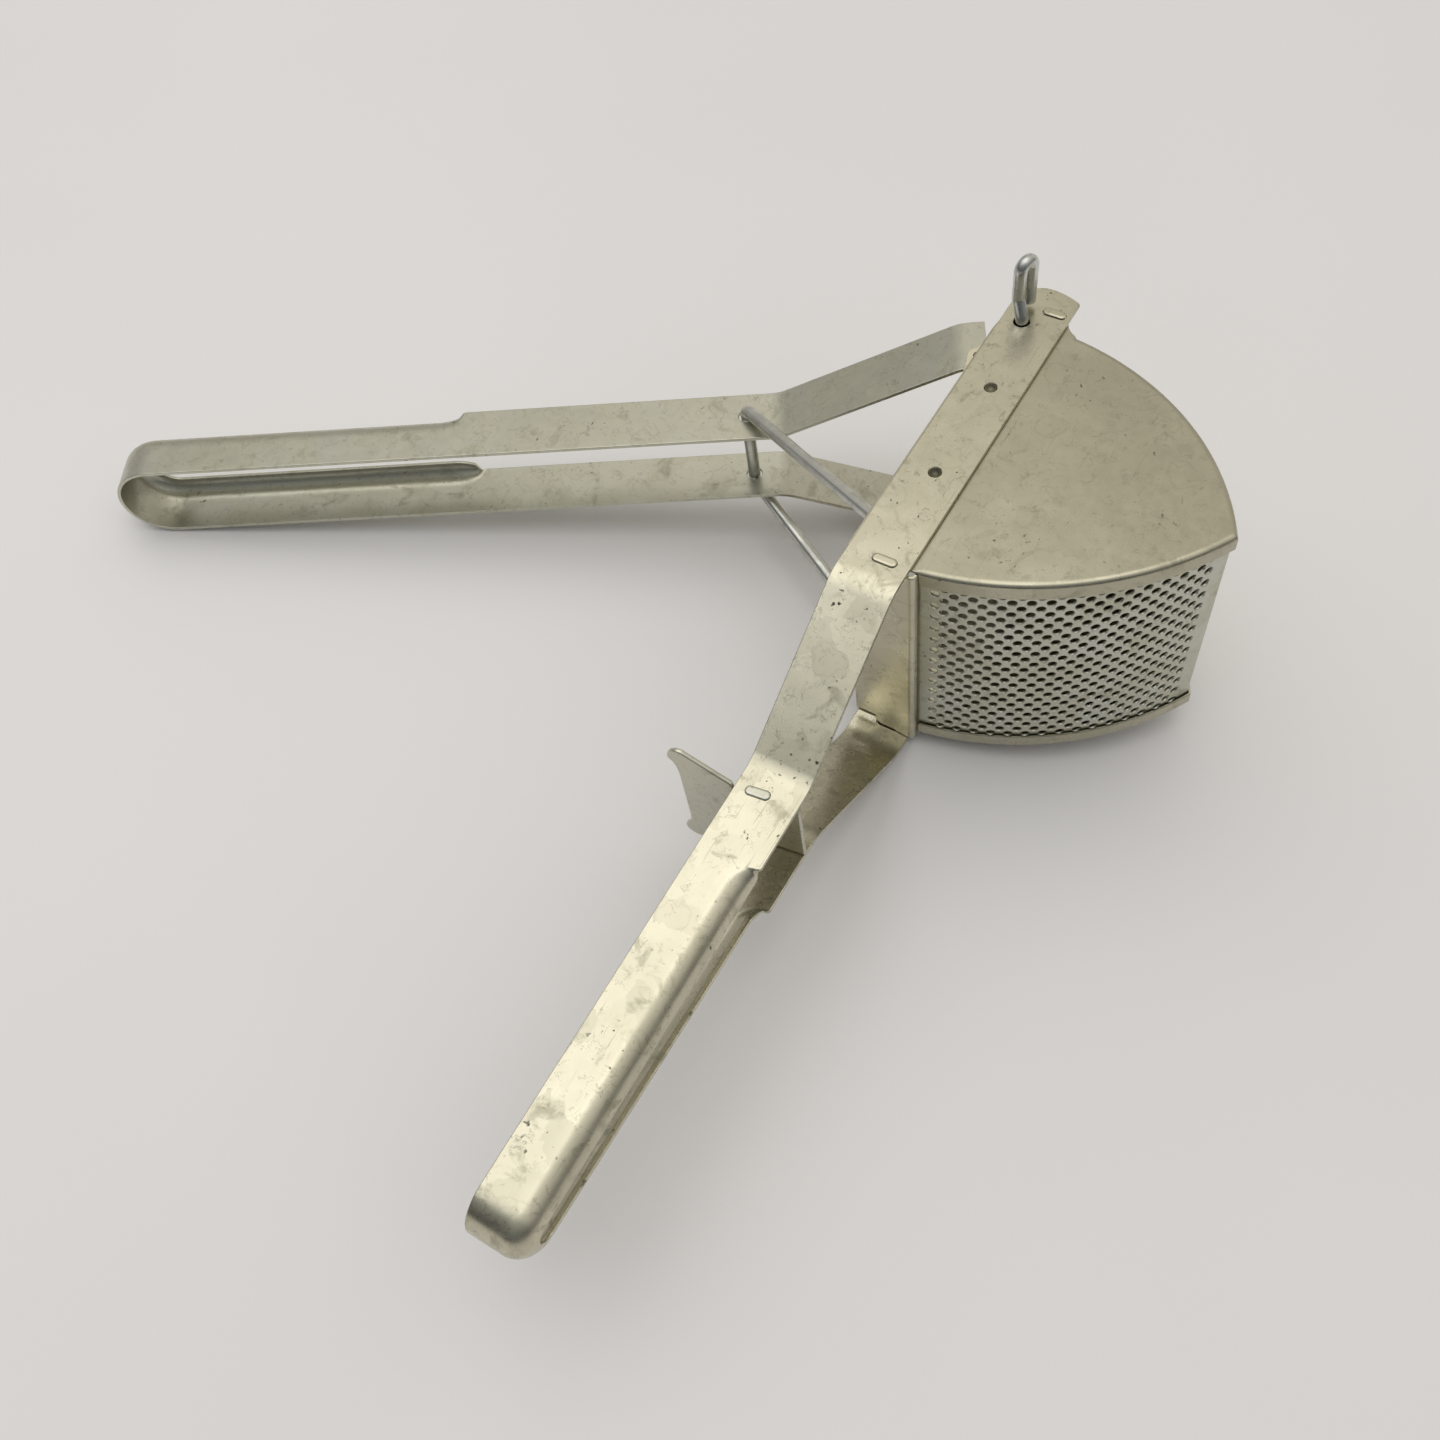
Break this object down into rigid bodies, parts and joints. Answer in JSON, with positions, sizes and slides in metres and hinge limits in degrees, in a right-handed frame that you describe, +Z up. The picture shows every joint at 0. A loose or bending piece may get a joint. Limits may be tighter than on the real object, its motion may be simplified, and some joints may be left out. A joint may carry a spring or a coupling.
{
  "type": "potato_ricer",
  "caption": "Hand potato ricer of tinned sheet steel lying on its side: wedge-shaped hopper with a perforated curved wall, looped strap handles and a curved presser",
  "frame": {"origin": "bottom centre of the bounding box, on the surface the ricer lies on", "axes": "+X along the frame handle from the hinge pin to its looped end, +Y towards the perforated wall and away from the lever, +Z up from the surface the ricer lies on"},
  "size_m": [0.311, 0.35, 0.1069],
  "materials": {
    "tinned_strap": "satin tinned steel strip",
    "tinned_sheet": "satin tinned steel sheet",
    "tinned_dull": "dulled tinned steel",
    "plated_wire": "plated steel wire"
  },
  "bodies": {
    "frame": {"frame_strap": "tinned_strap", "side_plate_upper": "tinned_sheet", "side_plate_lower": "tinned_sheet", "sieve_wall": "tinned_sheet", "back_wall": "tinned_sheet", "mouth_plate": "tinned_sheet", "tip_plate": "tinned_dull", "stop_plate": "tinned_dull", "side_rivet_upper_1": "tinned_dull", "side_rivet_upper_2": "tinned_dull", "side_rivet_lower_1": "tinned_dull", "side_rivet_lower_2": "tinned_dull"},
    "lever": {"lever_strap": "tinned_strap", "presser_plate": "tinned_dull", "bail_wire": "plated_wire", "lever_rivet_upper": "tinned_dull", "lever_rivet_lower": "tinned_dull"},
    "pin": {"hook_pin": "plated_wire"}
  },
  "joints": [
    {"name": "lever_hinge", "type": "hinge", "parent": "frame", "child": "lever", "pos_m": [-0.13953, 0.08574, 0.04369], "axis": [0, -0.1168, 0.9932], "range_deg": [-60, 47]},
    {"name": "pin_pull", "type": "slide", "parent": "frame", "child": "pin", "axis": [0, -0.1168, 0.9932], "range_m": [0, 0.095]}
  ]
}
